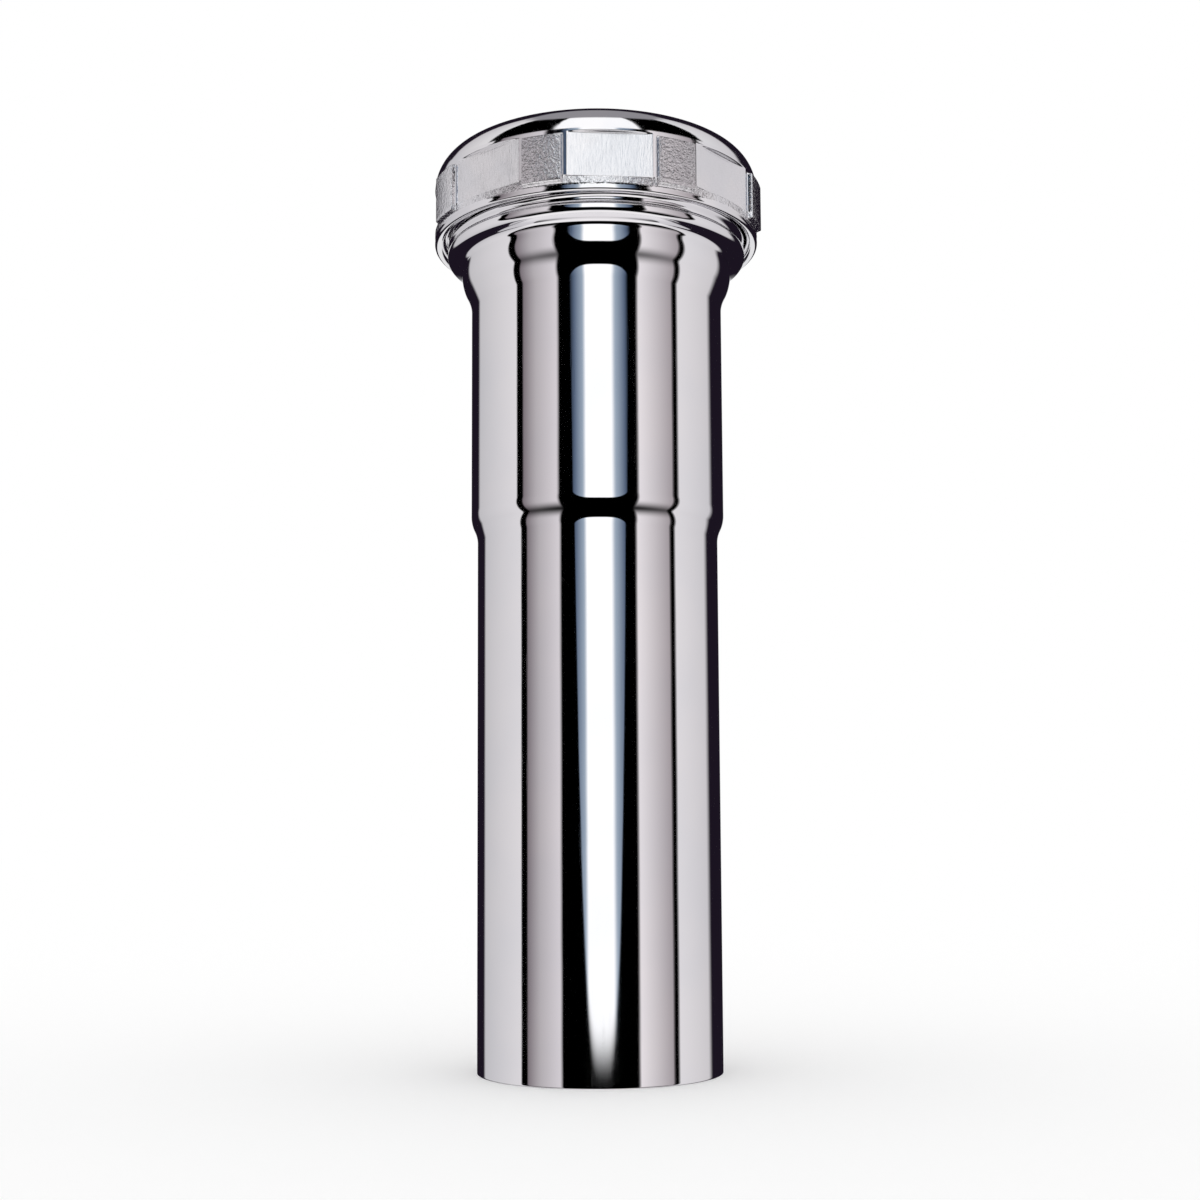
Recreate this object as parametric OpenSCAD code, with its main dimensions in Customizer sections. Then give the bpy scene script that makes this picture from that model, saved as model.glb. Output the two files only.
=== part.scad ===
// Slip-joint extension tube for a sink or basin drain, nominal 1-1/2 in by 6 in.
// The tube stands on its plain end. Its origin is the centre of that end, with +Z up the axis.

/* [Tube] */
// Outside diameter of the plain end
tube_d = 38.1; // [37:0.1:39]
// Wall of the formed brass tube
wall = 0.8; // [0.6:0.05:1.0]
// Length of the plain end, up to the step
plain_len = 82.4; // [40:0.1:250]
// Height of the S-shaped step between the plain end and the socket
step_h = 4.4; // [3.5:0.1:8]
// Diametral room that the socket leaves round a tube of the plain end's size
socket_clear = 0.4; // [0.2:0.05:0.8]
// Length of the socket's straight wall, from the lower step to the upper one
socket_len = 32.9; // [20:0.1:60]

/* [Neck and threaded collar] */
// Outside diameter of the short neck above the socket
neck_d = 43.2; // [42.4:0.1:44]
// Height of the S-shaped step between the socket and the neck
neck_step_h = 6.4; // [4.5:0.1:9]
// Length of the neck's straight wall
neck_len = 0.6; // [0.2:0.1:5]
// Outside radius of the hollow bend where the neck turns out into the shoulder
shoulder_r = 1; // [0.8:0.1:1.3]
// Slope of the shoulder, from the vertical
shoulder_angle = 70; // [60:1:80]
// Diameter over the collar's thread
collar_d = 47.8; // [47.2:0.1:48.4]
// Inside radius of the bend from the shoulder into the collar
collar_bend_r = 0.2; // [0.1:0.05:0.4]
// Length of the collar's straight wall, up to its mouth
collar_len = 9.55; // [8.5:0.05:12.5]

/* [Slip nut] */
// Length of collar that shows below the nut when it is screwed home
collar_show = 1.6; // [0.8:0.1:2.6]
// Diameter of the round body between the flats
nut_d = 51.9; // [51.5:0.1:53]
// Distance across the flats
across_flats = 50.3; // [49.8:0.1:51]
// Height of the bead round the bottom
bead_h = 2.2; // [1.8:0.1:3.2]
// Height of the flats
flat_h = 6.8; // [5:0.1:7.5]
// Diameter over the raised lugs between the flats
lug_d = 53.5; // [53.2:0.1:55]
// Height of the lugs
lug_h = 7.3; // [5:0.1:8]
// How far the lugs reach below the flats
lug_drop = 0.9; // [0.4:0.1:1.3]
// Width of each lug, in degrees
lug_angle = 13.5; // [10:0.5:15]
// Diameter of the flat ring on top
top_d = 43.8; // [42:0.1:46]
// Diameter of the hole that the inner tube passes through
nut_hole_d = 39.2; // [38.8:0.1:40]
// Thickness of the top over the washer
nut_top = 2.3; // [1.8:0.1:2.8]
// Diametral room between the nut's bore and the collar
thread_clear = 0.5; // [0.4:0.05:0.8]

/* [Washer] */
// Thickness of the washer
washer_h = 3.55; // [2.8:0.05:4.5]
// Inside diameter of the washer
washer_id = 38.5; // [38.3:0.1:39]
// Outside diameter of the washer
washer_od = 47.6; // [47:0.1:47.8]
// Bevel on the washer's lower inner edge
washer_bevel = 1; // [0.5:0.1:1.5]

/* [Hidden] */
$fn = 96;

// Number of flats and of lugs, and straight pieces in each arc of an outline
sides = 8;
arc_steps = 10;
// Small edge break, and a little extra so that cuts pass right through
edge = 0.4;
eps = 0.5;

tube_r = tube_d / 2;
socket_r = (tube_d + socket_clear) / 2 + wall;
neck_r = neck_d / 2;
collar_r = collar_d / 2;
nut_r = nut_d / 2;
bore_r = collar_r + thread_clear / 2;

// Levels of the two steps, of the neck and of the hollow bend above it
step_z = plain_len;
socket_z = step_z + step_h;
neck_step_z = socket_z + socket_len;
neck_z = neck_step_z + neck_step_h;
shoulder_z = neck_z + neck_len;

// The shoulder: a hollow bend, a straight cone and a round bend into the collar
bend_r = collar_bend_r + wall;
cone_r0 = neck_r + shoulder_r * (1 - cos(shoulder_angle));
cone_r1 = collar_r - bend_r * (1 - cos(shoulder_angle));
cone_h = (cone_r1 - cone_r0) / tan(shoulder_angle);
collar_z = shoulder_z + (shoulder_r + bend_r) * sin(shoulder_angle) + cone_h;
mouth_z = collar_z + collar_len;

// The nut's levels: its seat holds the washer down on the collar's mouth
nut_z = collar_z + collar_show;
flat_z = nut_z + bead_h;
lug_z = flat_z - lug_drop;
crown_z = flat_z + flat_h;
seat_z = mouth_z + washer_h;
nut_top_z = seat_z + nut_top;

// Points on an arc of radius r about c, from angle a to angle b
function arc(c, r, a, b) =
    [for (i = [0:arc_steps]) let (t = a + (b - a) * i / arc_steps) c + r * [cos(t), sin(t)]];

// A step from radius r0 up to radius r1: two equal arcs, tangent to both walls and
// to each other, at a depth d inside the outer skin
function step_side(r0, r1, z, h, d) =
    let (turn = 2 * atan2(r1 - r0, h), r = h / (2 * sin(turn)))
    concat(arc([r0 + r, z], r + d, 180, 180 - turn), arc([r1 - r, z + h], r - d, -turn, 0));

// The tube's side, at a depth d inside its outer skin, from the bottom up
function tube_side(d) = concat(
    [[tube_r - d, 0]],
    step_side(tube_r, socket_r, step_z, step_h, d),
    step_side(socket_r, neck_r, neck_step_z, neck_step_h, d),
    arc([neck_r + shoulder_r, shoulder_z], shoulder_r + d, 180, 180 - shoulder_angle),
    arc([collar_r - bend_r, collar_z], bend_r - d, -shoulder_angle, 0),
    [[collar_r - d, mouth_z]]
);

function reversed(points) = [for (i = [len(points) - 1:-1:0]) points[i]];

// The nut's rounded crown: a quarter of an ellipse, from its side to its top
function crown() =
    [for (i = [0:arc_steps]) let (t = 90 * i / arc_steps)
        [top_d / 2 + (nut_r - top_d / 2) * cos(t), crown_z + (nut_top_z - crown_z) * sin(t)]];

// One brass tube: plain end, step, socket, step, neck, shoulder and collar in one wall
module extension_tube() {
    color("gainsboro")
    rotate_extrude()
    polygon(concat(tube_side(0), reversed(tube_side(wall))));
}

// The nut as it is before its flats are cut: bead, body and rounded crown
module nut_blank() {
    rotate_extrude()
    polygon(concat(
        [[0, nut_z], [nut_r - edge, nut_z]],
        arc([nut_r - edge, nut_z + edge], edge, -90, 0),
        crown(),
        [[0, nut_top_z]]
    ));
}

// One flat's cut, which leaves the bead below and the crown above
module flat_cut() {
    translate([across_flats / 2, -nut_r / 2, flat_z])
    cube([nut_r, nut_r, flat_h]);
}

// One raised lug: a piece of ring with rounded upper and lower edges
module lug() {
    rotate([0, 0, -lug_angle / 2])
    rotate_extrude(angle = lug_angle)
    polygon(concat(
        [[bore_r + edge, lug_z]],
        arc([lug_d / 2 - edge, lug_z + edge], edge, -90, 0),
        arc([lug_d / 2 - edge, lug_z + lug_h - edge], edge, 0, 90),
        [[bore_r + edge, lug_z + lug_h]]
    ));
}

// The bore for the collar's thread with its lead-in, and the hole for the inner tube
module nut_bores() {
    translate([0, 0, nut_z - eps])
    cylinder(h = seat_z - nut_z + eps, r = bore_r);
    translate([0, 0, nut_z - eps])
    cylinder(h = 2 * edge + eps, r1 = bore_r + 2 * edge + eps, r2 = bore_r);
    translate([0, 0, seat_z - eps])
    cylinder(h = nut_top + 2 * eps, d = nut_hole_d);
    translate([0, 0, nut_top_z - edge])
    cylinder(h = edge + eps, d1 = nut_hole_d, d2 = nut_hole_d + 2 * (edge + eps));
}

// Die-cast slip nut with its flats, lugs and round crown
module slip_nut() {
    color("silver")
    difference() {
        union() {
            difference() {
                nut_blank();
                for (i = [0:sides - 1]) rotate([0, 0, 360 / sides * i]) flat_cut();
            }
            for (i = [0:sides - 1]) rotate([0, 0, 360 / sides * (i + 0.5)]) lug();
        }
        nut_bores();
    }
}

// Soft washer between the collar's mouth and the nut's seat
module slip_washer() {
    color("dimgray")
    rotate_extrude()
    polygon([
        [washer_id / 2 + washer_bevel, mouth_z],
        [washer_od / 2, mouth_z],
        [washer_od / 2, seat_z],
        [washer_id / 2, seat_z],
        [washer_id / 2, mouth_z + washer_bevel]
    ]);
}

extension_tube();
slip_nut();
slip_washer();
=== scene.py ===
"""Chromed drain extension tube: a stepped tube, its slip nut and its washer, in a plain white studio."""

import math

import bpy
import numpy as np
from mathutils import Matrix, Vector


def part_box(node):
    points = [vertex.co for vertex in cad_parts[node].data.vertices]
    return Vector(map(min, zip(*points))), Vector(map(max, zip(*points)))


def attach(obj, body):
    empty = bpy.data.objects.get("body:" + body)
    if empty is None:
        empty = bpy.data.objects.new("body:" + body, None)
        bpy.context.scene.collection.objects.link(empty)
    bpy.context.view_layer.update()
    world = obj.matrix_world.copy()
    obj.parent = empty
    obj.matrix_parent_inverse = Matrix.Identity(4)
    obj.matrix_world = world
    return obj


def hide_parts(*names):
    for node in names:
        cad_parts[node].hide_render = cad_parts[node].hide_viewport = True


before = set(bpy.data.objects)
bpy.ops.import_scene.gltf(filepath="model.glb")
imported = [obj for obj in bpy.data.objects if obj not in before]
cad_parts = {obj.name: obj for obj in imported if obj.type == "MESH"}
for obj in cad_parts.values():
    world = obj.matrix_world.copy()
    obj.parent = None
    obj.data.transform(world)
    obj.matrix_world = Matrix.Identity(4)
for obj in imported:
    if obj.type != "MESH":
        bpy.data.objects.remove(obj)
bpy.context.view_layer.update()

MM = 0.001

# Levels, in millimetres, from the three solids
tube_low, tube_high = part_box("extension_tube")
nut_low, nut_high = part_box("slip_nut")
washer_low, washer_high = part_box("slip_washer")
MOUTH_Z = tube_high.z / MM
NUT_Z = nut_low.z / MM
NUT_TOP_Z = nut_high.z / MM
SEAT_Z = washer_high.z / MM

# Tube, in millimetres
TUBE_R = 19.05
WALL = 0.8
SOCKET_R = 20.05
NECK_R = 21.6
COLLAR_R = 23.9
STEP_Z, STEP_H = 82.4, 4.4
NECK_STEP_Z, NECK_STEP_H = 119.7, 6.4
SHOULDER_Z = 126.7
SHOULDER_R = 1.0
SHOULDER_ANGLE = 70.0
BEND_R = 1.0
COLLAR_Z = NUT_Z - 1.6
CUT_EDGE = 0.2

# Slip-joint thread: eleven and a half turns to the inch, right-handed
THREAD_PITCH = 25.4 / 11.5
THREAD_DEPTH = 0.85
THREAD_ROOM = 0.2
THREAD_START_Z = COLLAR_Z + 0.35
THREAD_END_Z = MOUTH_Z - 0.5

# Nut, in millimetres and degrees
NUT_R = 25.95
BORE_R = 24.15
NUT_HOLE_R = 19.6
TOP_R = 21.9
FLAT_R = 25.15
LUG_R = 26.75
FLAT_Z = NUT_Z + 2.2
FLAT_H = 6.8
LUG_Z = FLAT_Z - 0.9
LUG_H = 7.3
LUG_ANGLE = 13.5
CROWN_Z = FLAT_Z + FLAT_H
NUT_EDGE = 0.4
SIDES = 8
SIDE_ANGLE = 360 / SIDES

# Washer, in millimetres
WASHER_R0, WASHER_R1 = 19.25, 23.8
WASHER_BEVEL = 1.0
WASHER_EDGE = 0.25

# Camera, from the photograph: its distance from the axis and its height, in millimetres,
# its tilt, and how far it stands round from the middle of the nearest flat
CAMERA_DISTANCE = 262.1
CAMERA_HEIGHT = 35.0
CAMERA_TILT = 5.4
CAMERA_ROLL = 0.3
CAMERA_TURN = -4.8
CAMERA_LENS = 50.0
CAMERA_SHIFT = (0.0007, 0.0724)


def smooth(x):
    """A soft step: 0 below 0, 1 above 1, and 3x² - 2x³ between."""
    x = np.clip(x, 0.0, 1.0)
    return x * x * (3 - 2 * x)


def window(x, start, end, soft):
    """1 between start and end, falling to 0 over a width soft centred on each of them."""
    return smooth((x - start) / soft + 0.5) * smooth((end - x) / soft + 0.5)


def arc(centre, radius, start, end, rows):
    """Points on a circle arc in the (r, z) plane, from angle start to angle end in degrees."""
    turn = np.radians(np.linspace(start, end, rows))
    return np.stack([centre[0] + radius * np.cos(turn), centre[1] + radius * np.sin(turn)], axis=-1)


def line(start, end, rows, guard=0.15):
    """Points on a straight run, without its ends, with a guard row close to each end so that
    the shading stays straight up to the bends."""
    start, end = np.array(start, float), np.array(end, float)
    length = np.hypot(*(end - start))
    near = min(guard / length, 0.3)
    share = np.concatenate([[near], np.linspace(near, 1 - near, rows)[1:-1], [1 - near]])
    return start + (end - start) * share[:, None]


def step(r0, r1, z, height, depth, rows):
    """A wall's step from radius r0 to r1: two equal arcs, tangent to both walls and to each other,
    at a depth inside the outer skin."""
    turn = 2 * math.degrees(math.atan2(r1 - r0, height))
    radius = height / (2 * math.sin(math.radians(turn)))
    low = arc((r0 + radius, z), radius + depth, 180, 180 - turn, rows)
    high = arc((r1 - radius, z + height), radius - depth, -turn, 0, rows)
    return np.concatenate([low, high[1:]])


def wall_side(depth, rows, collar_rows):
    """The tube's wall from the plain end up to the collar's mouth, at a depth inside its outer skin."""
    lower = step(TUBE_R, SOCKET_R, STEP_Z, STEP_H, depth, rows)
    upper = step(SOCKET_R, NECK_R, NECK_STEP_Z, NECK_STEP_H, depth, rows)
    hollow = arc((NECK_R + SHOULDER_R, SHOULDER_Z), SHOULDER_R + depth, 180, 180 - SHOULDER_ANGLE, rows)
    bend = arc((COLLAR_R - BEND_R, COLLAR_Z), BEND_R - depth, -SHOULDER_ANGLE, 0, rows)
    foot = (TUBE_R - depth, CUT_EDGE)
    mouth = (COLLAR_R - depth, MOUTH_Z - CUT_EDGE)
    return np.concatenate([
        [foot],
        line(foot, lower[0], rows),
        lower,
        line(lower[-1], upper[0], rows),
        upper,
        line(upper[-1], hollow[0], 3),
        hollow,
        line(hollow[-1], bend[0], 3),
        bend,
        line(bend[-1], mouth, collar_rows),
        [mouth],
    ])


def groove(z, turn):
    """How deep the thread is at a height and a turn, from 0 on a crest to 1 in a root: a cosine wave
    along the axis, whose phase falls by one pitch for each turn, so that the crest climbs to the right."""
    phase = (z - THREAD_START_Z) / THREAD_PITCH - turn / (2 * math.pi)
    return (0.5 - 0.5 * np.cos(2 * math.pi * phase)) ** 0.8


def ring_mesh(name, radius, height, turns, marks=None):
    """A closed ring. radius and height hold one row for each point of the section, in order round it,
    and one column for each turn, in millimetres; a point is (r cos t, r sin t, z). marks are named values
    for each point, kept as attributes for the materials."""
    rows, columns = radius.shape
    points = np.stack([radius * np.cos(turns), radius * np.sin(turns), height], axis=-1) * MM
    row, column = np.meshgrid(np.arange(rows), np.arange(columns), indexing="ij")
    up, on = (row + 1) % rows, (column + 1) % columns
    corners = np.stack([row * columns + column, row * columns + on, up * columns + on, up * columns + column], -1)
    faces = corners.reshape(-1, 4)
    mesh = bpy.data.meshes.new(name)
    mesh.vertices.add(rows * columns)
    mesh.vertices.foreach_set("co", points.ravel())
    mesh.loops.add(faces.size)
    mesh.loops.foreach_set("vertex_index", faces.ravel())
    mesh.polygons.add(len(faces))
    mesh.polygons.foreach_set("loop_start", np.arange(0, faces.size, 4))
    mesh.polygons.foreach_set("use_smooth", np.ones(len(faces), bool))
    mesh.update(calc_edges=True)
    for mark, values in (marks or {}).items():
        attribute = mesh.attributes.new(mark, "FLOAT", "POINT")
        attribute.data.foreach_set("value", np.ascontiguousarray(values, np.float32).ravel())
    mesh.validate()
    piece = bpy.data.objects.new(name, mesh)
    bpy.context.scene.collection.objects.link(piece)
    return piece


def make_tube():
    """The tube: its wall's section turned round the axis, with the rolled thread pressed into both
    faces of the collar by the same wave."""
    turns = np.linspace(0, 2 * math.pi, 270, endpoint=False)
    outside = wall_side(0, 16, 78)
    inside = wall_side(WALL, 8, 60)[::-1]
    mouth = MOUTH_Z - CUT_EDGE
    mouth_out = arc((COLLAR_R - CUT_EDGE, mouth), CUT_EDGE, 0, 90, 6)[1:]
    mouth_in = arc((COLLAR_R - WALL + CUT_EDGE, mouth), CUT_EDGE, 90, 180, 6)[:-1]
    foot_in = arc((TUBE_R - WALL + CUT_EDGE, CUT_EDGE), CUT_EDGE, 180, 270, 6)[1:]
    foot_out = arc((TUBE_R - CUT_EDGE, CUT_EDGE), CUT_EDGE, 270, 360, 6)[:-1]
    section = np.concatenate([outside, mouth_out, mouth_in, inside, foot_in, foot_out])
    radius, height = np.broadcast_arrays(section[:, :1], section[:, 1:])
    turn_grid = np.broadcast_to(turns, (len(section), len(turns)))
    height = np.broadcast_to(height, turn_grid.shape)
    fade = smooth((height - THREAD_START_Z) / 0.9) * smooth((THREAD_END_Z - height) / 0.8)
    radius = radius - THREAD_DEPTH * groove(height, turn_grid) * fade
    return ring_mesh("tube_skin", radius, height, turns)


def nut_turns():
    """The turns of the nut's columns: an even spread, with more at the sides of the lugs and the ends of the flats."""
    half_lug = LUG_ANGLE / 2
    half_flat = math.degrees(math.acos(FLAT_R / NUT_R))
    lug_side = half_lug + np.linspace(-0.36, 0.36, 10)
    flat_end = SIDE_ANGLE / 2 - half_flat + np.linspace(-0.2, 0.2, 3)
    even = np.linspace(0, SIDE_ANGLE / 2, 16)
    even = even[(np.abs(even - half_lug) > 0.6) & (np.abs(even - flat_end[1]) > 0.4)]
    half = np.unique(np.round(np.concatenate([even, lug_side, flat_end]), 4))
    one_side = np.concatenate([-half[::-1][:-1], half])[1:]
    centres = SIDE_ANGLE * (np.arange(SIDES) + 0.5)
    return np.radians((centres[:, None] + one_side).ravel())


def make_nut():
    """The nut: a section turned round the axis. Each flat takes off nut_r - flat_r / cos(turn from its middle),
    and each lug adds a raised pad, both with soft edges. The bore carries the thread that meshes with the collar's."""
    turns = nut_turns()
    bead = arc((NUT_R - NUT_EDGE, NUT_Z + NUT_EDGE), NUT_EDGE, -90, 0, 7)
    levels = np.unique(np.round(np.concatenate([
        np.linspace(NUT_Z + NUT_EDGE + 0.1, LUG_Z - 0.3, 4),
        LUG_Z + np.linspace(-0.2, 0.2, 8),
        FLAT_Z + np.linspace(-0.2, 0.2, 8),
        np.linspace(FLAT_Z + 0.4, LUG_Z + LUG_H - 0.5, 12),
        LUG_Z + LUG_H + np.linspace(-0.25, 0.25, 8),
        CROWN_Z + np.linspace(-0.2, 0.2, 8),
    ]), 4))
    side = np.stack([np.full(len(levels), NUT_R), levels], axis=-1)
    crown_turn = np.radians(np.linspace(3, 90, 30))
    crown_low = levels[-1]
    crown = np.stack([
        TOP_R + (NUT_R - TOP_R) * np.cos(crown_turn),
        crown_low + (NUT_TOP_Z - crown_low) * np.sin(crown_turn),
    ], axis=-1)
    hole_edge = arc((NUT_HOLE_R + NUT_EDGE, NUT_TOP_Z - NUT_EDGE), NUT_EDGE, 90, 180, 6)
    hole = line(hole_edge[-1], (NUT_HOLE_R, SEAT_Z + 0.15), 3)
    seat = np.array([[NUT_HOLE_R, SEAT_Z + 0.15], [NUT_HOLE_R + 0.15, SEAT_Z], [BORE_R - 0.3, SEAT_Z], [BORE_R, SEAT_Z - 0.3]])
    bore = line((BORE_R, SEAT_Z - 0.3), (BORE_R, NUT_Z + 2 * NUT_EDGE), 84)
    lead_in = np.array([[BORE_R, NUT_Z + 2 * NUT_EDGE], [BORE_R + 2 * NUT_EDGE, NUT_Z]])
    section = np.concatenate([bead, side, crown, line(crown[-1], hole_edge[0], 4), hole_edge, hole, seat, bore, lead_in])
    shape = (len(section), len(turns))
    turn_grid = np.broadcast_to(turns, shape)
    radius = np.broadcast_to(section[:, :1], shape)
    height = np.broadcast_to(section[:, 1:], shape)

    on_outside = np.arange(len(section))[:, None] < len(bead) + len(side)
    degrees = np.degrees(turn_grid)
    from_flat = (degrees + SIDE_ANGLE / 2) % SIDE_ANGLE - SIDE_ANGLE / 2
    from_lug = degrees % SIDE_ANGLE - SIDE_ANGLE / 2
    cut = np.maximum(NUT_R - FLAT_R / np.cos(np.radians(from_flat)), 0)
    flat = window(height, FLAT_Z, CROWN_Z, 0.25) * on_outside
    lug = window(height, LUG_Z, LUG_Z + LUG_H, 0.4) * window(from_lug, -LUG_ANGLE / 2, LUG_ANGLE / 2, 0.5) * on_outside
    radius = radius - cut * flat + (LUG_R - NUT_R) * lug

    first = len(section) - len(lead_in) - len(bore)
    in_bore = (np.arange(len(section))[:, None] >= first) & (np.arange(len(section))[:, None] < first + len(bore))
    thread_end = MOUTH_Z - 0.3
    fade = smooth((height - NUT_Z - 2 * NUT_EDGE) / 0.7) * smooth((thread_end - height) / 0.8) * in_bore
    ridge = THREAD_DEPTH - THREAD_ROOM
    radius = radius - ridge * groove(height, turn_grid) * fade
    marks = {
        "flat": flat * (cut > 0) * (1 - lug),
        "lug": lug,
        "ledge": window(height, LUG_Z - 0.3, FLAT_Z + 0.1, 0.3) * on_outside * (1 - lug),
    }
    return ring_mesh("nut_skin", radius, height, turns, marks)


def make_washer():
    """The washer: a flat ring with rounded edges and a bevel on its lower inner edge."""
    turns = np.linspace(0, 2 * math.pi, 144, endpoint=False)
    edge = WASHER_EDGE
    low, high = MOUTH_Z, SEAT_Z
    section = np.concatenate([
        arc((WASHER_R1 - edge, low + edge), edge, -90, 0, 6),
        line((WASHER_R1, low + edge), (WASHER_R1, high - edge), 6),
        arc((WASHER_R1 - edge, high - edge), edge, 0, 90, 6),
        line((WASHER_R1 - edge, high), (WASHER_R0 + edge, high), 6),
        arc((WASHER_R0 + edge, high - edge), edge, 90, 180, 6),
        line((WASHER_R0, high - edge), (WASHER_R0, low + WASHER_BEVEL), 5),
        line((WASHER_R0, low + WASHER_BEVEL), (WASHER_R0 + WASHER_BEVEL, low), 5),
        line((WASHER_R0 + WASHER_BEVEL, low), (WASHER_R1 - edge, low), 5),
    ])
    shape = (len(section), len(turns))
    return ring_mesh("washer_ring", np.broadcast_to(section[:, :1], shape), np.broadcast_to(section[:, 1:], shape), turns)


class Value:
    """A node socket that adds up, multiplies and compares like a number, by adding Math nodes."""

    def __init__(self, tree, socket):
        self.tree, self.socket = tree, socket

    def node(self, kind, settings=None, outlet=0, **inputs):
        """Any node: its settings are set first, then its sockets, named by their label with _ for a space,
        or by their number as in_0. A list of stops sets a ramp."""
        made = self.tree.nodes.new(kind)
        for key, value in (settings or {}).items():
            if key == "stops":
                ramp = made.color_ramp
                while len(ramp.elements) > 1:
                    ramp.elements.remove(ramp.elements[-1])
                for place, (position, colour) in enumerate(value):
                    stop = ramp.elements[0] if place == 0 else ramp.elements.new(position)
                    stop.position, stop.color = position, colour
            else:
                setattr(made, key, value)
        for key, value in inputs.items():
            socket = made.inputs[int(key[3:])] if key.startswith("in_") else made.inputs[key.replace("_", " ")]
            if isinstance(value, Value):
                self.tree.links.new(value.socket, socket)
            else:
                socket.default_value = value
        return Value(self.tree, made.outputs[outlet])

    def maths(self, operation, *others):
        inputs = {f"in_{place}": other for place, other in enumerate(others)}
        return self.node("ShaderNodeMath", {"operation": operation}, **inputs)

    def __add__(self, other):
        return self.maths("ADD", self, other)

    __radd__ = __add__

    def __mul__(self, other):
        return self.maths("MULTIPLY", self, other)

    __rmul__ = __mul__

    def __sub__(self, other):
        return self.maths("SUBTRACT", self, other)

    def __rsub__(self, other):
        return self.maths("SUBTRACT", other, self)

    def __truediv__(self, other):
        return self.maths("DIVIDE", self, other)

    def __gt__(self, other):
        return self.maths("GREATER_THAN", self, other)

    def ramp(self, low, high, start=0.0, end=1.0):
        """start at low, end at high, and a soft step between."""
        return self.node("ShaderNodeMapRange", {"interpolation_type": "SMOOTHSTEP"},
                         Value=self, From_Min=low, From_Max=high, To_Min=start, To_Max=end)

    def mix(self, first, second):
        """The colour first where this value is 0, and second where it is 1."""
        return self.node("ShaderNodeMix", {"data_type": "RGBA"}, outlet=2, in_0=self, in_6=first, in_7=second)

    def with_light(self, other):
        """The sum of two colours."""
        settings = {"data_type": "RGBA", "blend_type": "ADD"}
        return self.node("ShaderNodeMix", settings, outlet=2, in_0=1.0, in_6=self, in_7=other)


def rgb(red, green, blue):
    return (red, green, blue, 1.0)


def new_material(name):
    """An empty Principled material: its maths handle, its shader and the point's place in millimetres."""
    material = bpy.data.materials.new(name)
    material.use_nodes = True
    tree = material.node_tree
    shader = tree.nodes["Principled BSDF"]
    start = Value(tree, None)
    place = Value(tree, tree.nodes.new("ShaderNodeTexCoord").outputs["Object"])
    place = start.node("ShaderNodeVectorMath", {"operation": "SCALE"}, in_0=place, Scale=1 / MM)
    return material, start, shader, place


def feed(start, shader, name, value):
    """Links a value into one of the shader's sockets."""
    start.tree.links.new(value.socket, shader.inputs[name])


def stretched(start, place, scale):
    """The place with each axis scaled by its own factor."""
    return start.node("ShaderNodeVectorMath", {"operation": "MULTIPLY"}, in_0=place, in_1=scale)


def noise(start, place, scale, detail=2.0, rough=0.5):
    """Soft noise from 0 to 1, with scale grains to the millimetre."""
    return start.node("ShaderNodeTexNoise", Vector=place, Scale=scale, Detail=detail, Roughness=rough)


def make_polished_chrome():
    """Mirror chrome over drawn brass: faint waves of the thin wall, fine polishing lines and a few hairline scratches."""
    material, start, shader, place = new_material("polished_chrome")
    shader.inputs["Metallic"].default_value = 1.0
    cloud = noise(start, place, 0.05, 3.0)
    tint = cloud.ramp(0.35, 0.65).mix(rgb(0.86, 0.86, 0.88), rgb(0.90, 0.89, 0.90))
    feed(start, shader, "Base Color", tint)
    lines = noise(start, stretched(start, place, (3.0, 3.0, 0.05)), 1.4, 3.0, 0.6)
    haze = noise(start, place, 0.12, 4.0, 0.6)
    feed(start, shader, "Roughness", 0.035 + 0.03 * lines.ramp(0.45, 0.8) + 0.03 * haze.ramp(0.5, 0.8))
    wave = noise(start, stretched(start, place, (1.0, 1.0, 0.35)), 0.09, 2.0)
    scratch = noise(start, stretched(start, place, (2.5, 2.5, 0.12)), 0.9, 2.0).ramp(0.68, 0.74)
    rise = wave * 0.02 - scratch * 0.0004
    bump = start.node("ShaderNodeBump", Height=rise, Strength=1.0, Distance=MM)
    feed(start, shader, "Normal", bump)
    return material


def make_cast_chrome():
    """Chromed die casting: polished crown and bead, satin flats with a fine vertical grain, pebbled lugs
    and a rough ledge under the flats."""
    material, start, shader, place = new_material("cast_chrome")
    shader.inputs["Metallic"].default_value = 1.0
    flat = start.node("ShaderNodeAttribute", {"attribute_name": "flat"}, outlet=2)
    lug = start.node("ShaderNodeAttribute", {"attribute_name": "lug"}, outlet=2)
    ledge = start.node("ShaderNodeAttribute", {"attribute_name": "ledge"}, outlet=2)
    cloud = noise(start, place, 0.15, 3.0)
    tint = cloud.ramp(0.35, 0.65).mix(rgb(0.84, 0.84, 0.86), rgb(0.88, 0.87, 0.88))
    feed(start, shader, "Base Color", tint)
    grain = noise(start, stretched(start, place, (1.0, 1.0, 0.25)), 3.2, 2.0)
    pebble = noise(start, place, 1.6, 3.0, 0.65)
    polish = noise(start, place, 0.5, 3.0)
    rough = 0.06 + 0.05 * polish.ramp(0.45, 0.75) + 0.16 * flat + 0.12 * lug + 0.1 * ledge
    feed(start, shader, "Roughness", rough)
    rise = flat * grain * 0.018 + lug * pebble * 0.12 + ledge * pebble * 0.16 + polish * 0.006
    bump = start.node("ShaderNodeBump", Height=rise, Strength=1.0, Distance=MM)
    feed(start, shader, "Normal", bump)
    return material


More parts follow.
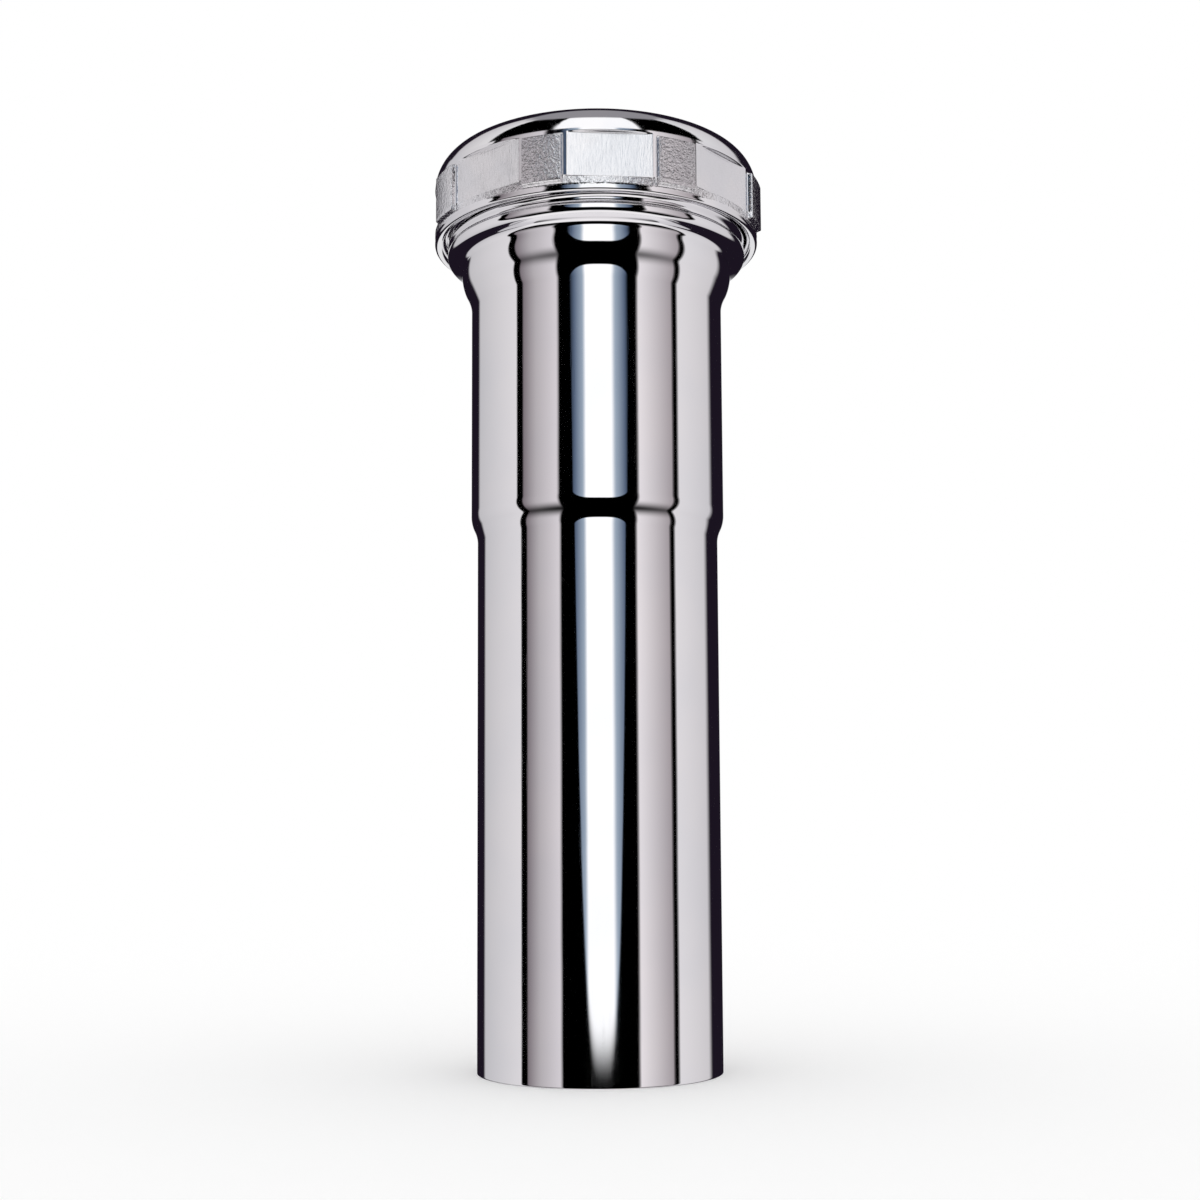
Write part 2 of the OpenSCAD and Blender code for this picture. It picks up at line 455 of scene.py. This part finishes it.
def make_washer_rubber():
    """Moulded black rubber: a dull bloom and a fine grain."""
    material, start, shader, place = new_material("washer_rubber")
    bloom = noise(start, place, 0.25, 4.0, 0.6)
    feed(start, shader, "Base Color", bloom.ramp(0.35, 0.7).mix(rgb(0.035, 0.035, 0.038), rgb(0.075, 0.073, 0.072)))
    grain = noise(start, place, 4.0, 3.0)
    feed(start, shader, "Roughness", 0.62 + 0.2 * bloom)
    feed(start, shader, "Normal", start.node("ShaderNodeBump", Height=grain * 0.03, Strength=1.0, Distance=MM))
    return material


# What the polished metal mirrors, by azimuth in degrees: 0 is towards the camera and plus is to its right.
# Each row is an azimuth and the light there; between rows it runs evenly.
BLACK = (0.0, 0.0, 0.0)
NIGHT = (0.012, 0.008, 0.016)
SKIRTING = (0.85, 0.85, 0.86)
SIDE_CARDS = [
    (-180, SKIRTING),
    (-169, SKIRTING),
    (-167, NIGHT),
    (-137, NIGHT),
    (-133, (0.58, 0.57, 0.59)),
    (-77, (0.78, 0.76, 0.78)),
    (-76, BLACK),
    (77, BLACK),
    (78, (0.80, 0.78, 0.80)),
    (120, (0.66, 0.64, 0.66)),
    (127, NIGHT),
    (167, NIGHT),
    (169, SKIRTING),
    (180, SKIRTING),
]
INNER_CARDS = [
    (-70, BLACK),
    (-69, (0.22, 0.19, 0.21)),
    (-56, (0.50, 0.47, 0.49)),
    (-36, (0.74, 0.70, 0.73)),
    (-34, BLACK),
    (36, BLACK),
    (38, (0.86, 0.82, 0.84)),
    (71, (0.40, 0.36, 0.38)),
    (72, BLACK),
]
KEY_CARD = [
    (-24, BLACK),
    (-20, (0.10, 0.14, 0.22)),
    (-12, (0.38, 0.46, 0.56)),
    (-10, (1.15, 1.16, 1.17)),
    (13, (1.15, 1.16, 1.17)),
    (16, (0.38, 0.46, 0.56)),
    (25, (0.10, 0.14, 0.22)),
    (28, BLACK),
]
TOP_CARDS = [
    (-180, NIGHT),
    (-132, NIGHT),
    (-128, (0.60, 0.58, 0.60)),
    (-84, (0.80, 0.79, 0.80)),
    (-82, BLACK),
    (-31, BLACK),
    (-29, (1.12, 1.12, 1.13)),
    (31, (1.12, 1.12, 1.13)),
    (33, BLACK),
    (82, BLACK),
    (84, (0.80, 0.79, 0.80)),
    (122, (0.66, 0.64, 0.66)),
    (127, NIGHT),
    (180, NIGHT),
]
KEY_MIDDLE, KEY_HALF = 2.5, 23.0
KEY_FOOT, KEY_ROUND = -7.0, 16.0
INNER_FOOT = (-38.0, -8.0)
TOP_START = (28.0, 30.0)
CEILING_START = (64.0, 70.0)
CEILING = (0.30, 0.29, 0.31)
FLOOR_EDGE = (-64.0, -54.0)


def make_studio():
    """A plain white room. The camera and the matt surfaces see an even white; polished metal mirrors tall cards
    with dark gaps between them, and the pale floor below."""
    world = bpy.data.worlds.new("studio")
    bpy.context.scene.world = world
    world.use_nodes = True
    world.cycles.sampling_method = "NONE"
    tree = world.node_tree
    start = Value(tree, None)
    direction = Value(tree, tree.nodes.new("ShaderNodeTexCoord").outputs["Generated"])
    split = tree.nodes.new("ShaderNodeSeparateXYZ")
    tree.links.new(direction.socket, split.inputs[0])
    x, y, z = (Value(tree, outlet) for outlet in split.outputs)
    turn = math.radians(CAMERA_TURN)
    aside = x * math.cos(turn) + y * math.sin(turn)
    ahead = x * math.sin(turn) - y * math.cos(turn)
    azimuth = aside.maths("ARCTAN2", aside, ahead) * (1 / (2 * math.pi)) + 0.5
    elevation = z.maths("ARCSINE", z) * (180 / math.pi)
    degrees = azimuth * 360 - 180

    def cards(rows):
        """The light of one set of cards round the azimuth."""
        stops = [((angle + 180) / 360, rgb(*light)) for angle, light in rows]
        return start.node("ShaderNodeValToRGB", {"stops": stops}, Fac=azimuth)

    across = (degrees - KEY_MIDDLE) * (1 / KEY_HALF)
    key_foot = KEY_FOOT + KEY_ROUND * across * across * across * across
    key = (elevation - key_foot).ramp(-1.0, 1.0).mix(rgb(*BLACK), cards(KEY_CARD))
    inner = elevation.ramp(*INNER_FOOT).mix(rgb(*BLACK), cards(INNER_CARDS))
    low = cards(SIDE_CARDS).with_light(key).with_light(inner)
    high = elevation.ramp(*CEILING_START).mix(cards(TOP_CARDS), rgb(*CEILING))
    mirrored = elevation.ramp(*TOP_START).mix(low, high)
    mirrored = elevation.ramp(*FLOOR_EDGE, 1.0, 0.0).mix(mirrored, rgb(0.95, 0.93, 0.94))
    path = tree.nodes.new("ShaderNodeLightPath")
    glossy = Value(tree, path.outputs["Is Glossy Ray"])
    seen = glossy.mix(rgb(1.0, 1.0, 1.0), mirrored)
    tree.links.new(seen.socket, tree.nodes["Background"].inputs["Color"])


def make_floor():
    """A pale floor that keeps the object's soft shadow; polished metal doesn't mirror it."""
    size = 4.0
    mesh = bpy.data.meshes.new("floor")
    corners = [(-size, -size, 0), (size, -size, 0), (size, size, 0), (-size, size, 0)]
    mesh.from_pydata(corners, [], [(0, 1, 2, 3)])
    floor = bpy.data.objects.new("floor", mesh)
    bpy.context.scene.collection.objects.link(floor)
    material, start, shader, place = new_material("floor_white")
    shader.inputs["Base Color"].default_value = rgb(1.0, 1.0, 1.0)
    shader.inputs["Roughness"].default_value = 1.0
    shader.inputs["Specular IOR Level"].default_value = 0.0
    floor.data.materials.append(material)
    floor.visible_glossy = False


def make_camera():
    """The photograph's camera: below the nut, looking slightly up, with the frame shifted to hold the whole tube."""
    data = bpy.data.cameras.new("camera")
    data.lens = CAMERA_LENS
    data.sensor_width = 36.0
    data.shift_x, data.shift_y = CAMERA_SHIFT
    data.clip_start = 0.01
    camera = bpy.data.objects.new("camera", data)
    bpy.context.scene.collection.objects.link(camera)
    turn = math.radians(CAMERA_TURN)
    camera.location = (
        CAMERA_DISTANCE * MM * math.sin(turn),
        -CAMERA_DISTANCE * MM * math.cos(turn),
        CAMERA_HEIGHT * MM,
    )
    camera.rotation_euler = (math.radians(90 + CAMERA_TILT), math.radians(CAMERA_ROLL), turn)
    bpy.context.scene.camera = camera


def dress(piece, body, node, material):
    """Gives a piece its body and its material, and hides the solid that it stands for."""
    piece.data.materials.append(material)
    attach(piece, body)
    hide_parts(node)


make_camera()
dress(make_tube(), "tube", "extension_tube", make_polished_chrome())
dress(make_nut(), "nut", "slip_nut", make_cast_chrome())
dress(make_washer(), "washer", "slip_washer", make_washer_rubber())
make_studio()
make_floor()

bpy.context.scene.view_settings.view_transform = "Standard"
